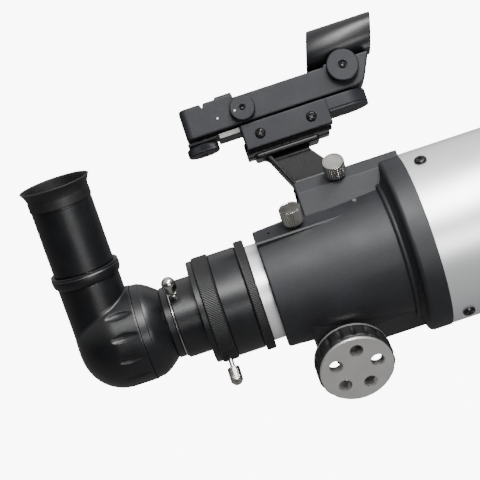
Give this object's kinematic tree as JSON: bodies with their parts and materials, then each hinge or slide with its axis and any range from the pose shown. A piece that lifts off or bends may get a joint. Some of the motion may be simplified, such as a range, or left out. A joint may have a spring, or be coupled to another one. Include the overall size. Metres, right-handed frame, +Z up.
{
  "type": "refractor telescope",
  "caption": "Refractor telescope tube with rack and pinion focuser, erecting diagonal, eyepiece and red dot finder, on a dovetail bar.",
  "frame": {"origin": "centre of the dovetail bar's underside", "axes": "+X along the optical axis towards the objective, +Z up towards the top of the focuser, -Y towards the near focus knob"},
  "size_m": [0.736, 0.1556, 0.1944],
  "materials": {
    "tube_silver": "metallic silver paint, satin",
    "black_casting": "black paint, satin",
    "black_anodised": "black anodised, satin",
    "black_plastic": "fine moulded texture",
    "black_paint": "black, semi-gloss",
    "black_rubber": "matt",
    "white_anodised": "white, satin",
    "knob_aluminium": "bead blasted with turned edges",
    "nickel": "nickel plated",
    "black_screw": "black oxide, glossy",
    "steel": "bright",
    "brass": "machined",
    "white_glide": "smooth",
    "glass": "coated optical glass",
    "window_glass": "partly reflective"
  },
  "bodies": {
    "tube": {"main_tube": "tube_silver", "tube_screws": "black_screw", "tube_baffles": "black_plastic", "objective_cell": "black_casting", "crown_lens": "glass", "flint_lens": "glass", "lens_retaining_ring": "black_plastic", "dew_shield": "black_casting", "dovetail_bar": "black_casting", "tube_saddle": "black_casting", "dovetail_bolts": "black_screw", "focuser_housing": "black_casting", "shoe_grub_screw": "black_screw", "pinion_cover": "black_casting", "pinion_cover_screws": "black_screw", "pinion_bushes": "brass", "drawtube_glides": "white_glide"},
    "drawtube": {"drawtube": "white_anodised", "focus_rack": "brass", "rack_screws": "black_screw", "drawtube_end_ring": "black_anodised", "two_inch_holder": "black_anodised", "clamp_ring": "black_anodised", "step_down_adapter": "black_anodised", "compression_band": "brass"},
    "pinion": {"pinion_shaft": "steel", "pinion_gear": "brass", "focus_knob_near": "knob_aluminium", "focus_knob_far": "knob_aluminium", "knob_grip_near": "black_rubber", "knob_grip_far": "black_rubber"},
    "focus_lock_screw": {"focus_lock_screw": "nickel"},
    "shoe_screw_near": {"shoe_screw_near": "nickel"},
    "shoe_screw_far": {"shoe_screw_far": "nickel"},
    "adapter_clamp_screw": {"adapter_clamp_screw": "nickel"},
    "diagonal_clamp_screw": {"diagonal_clamp_screw": "nickel"},
    "diagonal": {"diagonal_rear_shell": "black_plastic", "diagonal_front_shell": "black_plastic", "diagonal_shoulder_ring": "black_anodised", "diagonal_nose": "nickel", "diagonal_collar": "black_plastic", "erecting_prism": "glass", "prism_carrier": "black_plastic"},
    "eyepiece": {"eyepiece_barrel": "black_paint", "eyecup": "black_rubber", "eyepiece_nose": "nickel", "eye_lens": "glass", "field_lens": "glass"},
    "finder_bracket": {"finder_bracket": "black_plastic", "finder_base": "black_plastic", "finder_base_screws": "black_screw", "battery_cap": "black_plastic", "finder_battery": "steel"},
    "finder_yoke": {"finder_yoke": "black_plastic"},
    "finder_body": {"finder_body": "black_plastic", "finder_hood": "black_plastic", "finder_window": "window_glass"},
    "switch_knob": {"switch_knob": "black_plastic"},
    "azimuth_knob": {"azimuth_knob": "black_plastic"},
    "altitude_knob": {"altitude_knob": "black_plastic"}
  },
  "joints": [
    {"name": "focus_slide", "type": "slide", "parent": "tube", "child": "drawtube", "axis": [1, 0, 0], "range_m": [-0.08, 0.005]},
    {"name": "focus_knob_turn", "type": "hinge", "parent": "tube", "child": "pinion", "pos_m": [-0.2785, 0, 0.041], "axis": [0, 1, 0], "range_deg": [-960, 62]},
    {"name": "focus_lock_turn", "type": "hinge", "parent": "tube", "child": "focus_lock_screw", "pos_m": [-0.287, 0, 0.124], "axis": [0, 0, 1], "range_deg": [0, 720]},
    {"name": "shoe_near_turn", "type": "hinge", "parent": "tube", "child": "shoe_screw_near", "pos_m": [-0.254, 0.01805, 0.12881], "axis": [0, -0.3007, 0.9537], "range_deg": [0, 1440]},
    {"name": "shoe_far_turn", "type": "hinge", "parent": "tube", "child": "shoe_screw_far", "pos_m": [-0.272, 0.04544, 0.10702], "axis": [0, 0.9969, -0.0785], "range_deg": [0, 1440]},
    {"name": "adapter_clamp_turn", "type": "hinge", "parent": "drawtube", "child": "adapter_clamp_screw", "pos_m": [-0.3475, -0.03173, 0.05365], "axis": [0, -0.7934, -0.6088], "range_deg": [0, 1080]},
    {"name": "diagonal_clamp_turn", "type": "hinge", "parent": "drawtube", "child": "diagonal_clamp_screw", "pos_m": [-0.3676, -0.01051, 0.1061], "axis": [0, -0.3502, 0.9367], "range_deg": [0, 1080]},
    {"name": "diagonal_roll", "type": "hinge", "parent": "drawtube", "child": "diagonal", "pos_m": [-0.357, 0, 0.078], "axis": [1, 0, 0], "continuous": true},
    {"name": "eyepiece_slide", "type": "slide", "parent": "diagonal", "child": "eyepiece", "axis": [0, 0.3338, 0.9426], "range_m": [0, 0.035]},
    {"name": "finder_slide", "type": "slide", "parent": "tube", "child": "finder_bracket", "axis": [1, 0, 0], "range_m": [-0.06, 0]},
    {"name": "finder_azimuth", "type": "hinge", "parent": "finder_bracket", "child": "finder_yoke", "pos_m": [-0.273, 0.06225, 0.15626], "axis": [0, 0.6225, 0.7826], "range_deg": [-1.5, 1.5]},
    {"name": "finder_altitude", "type": "hinge", "parent": "finder_yoke", "child": "finder_body", "pos_m": [-0.23325, 0.06505, 0.15978], "axis": [0, 0.7826, -0.6225], "range_deg": [0, 2]},
    {"name": "switch_turn", "type": "hinge", "parent": "finder_body", "child": "switch_knob", "pos_m": [-0.294, 0.06686, 0.16205], "axis": [0, 0.7826, -0.6225], "range_deg": [0, 270]},
    {"name": "azimuth_knob_turn", "type": "hinge", "parent": "finder_body", "child": "azimuth_knob", "pos_m": [-0.2292, 0.07022, 0.16628], "axis": [0, 0.7826, -0.6225], "range_deg": [-585, 585]},
    {"name": "altitude_knob_turn", "type": "hinge", "parent": "finder_bracket", "child": "altitude_knob", "pos_m": [-0.3238, 0.05727, 0.15], "axis": [0, 0.6225, 0.7826], "range_deg": [0, 1600]}
  ],
  "couplings": [
    {"joint": "focus_knob_turn", "follows": "focus_slide", "rad_per_m": 208.33},
    {"joint": "finder_altitude", "follows": "altitude_knob_turn", "ratio": 0.0012304},
    {"joint": "finder_azimuth", "follows": "azimuth_knob_turn", "ratio": 0.0025436}
  ]
}
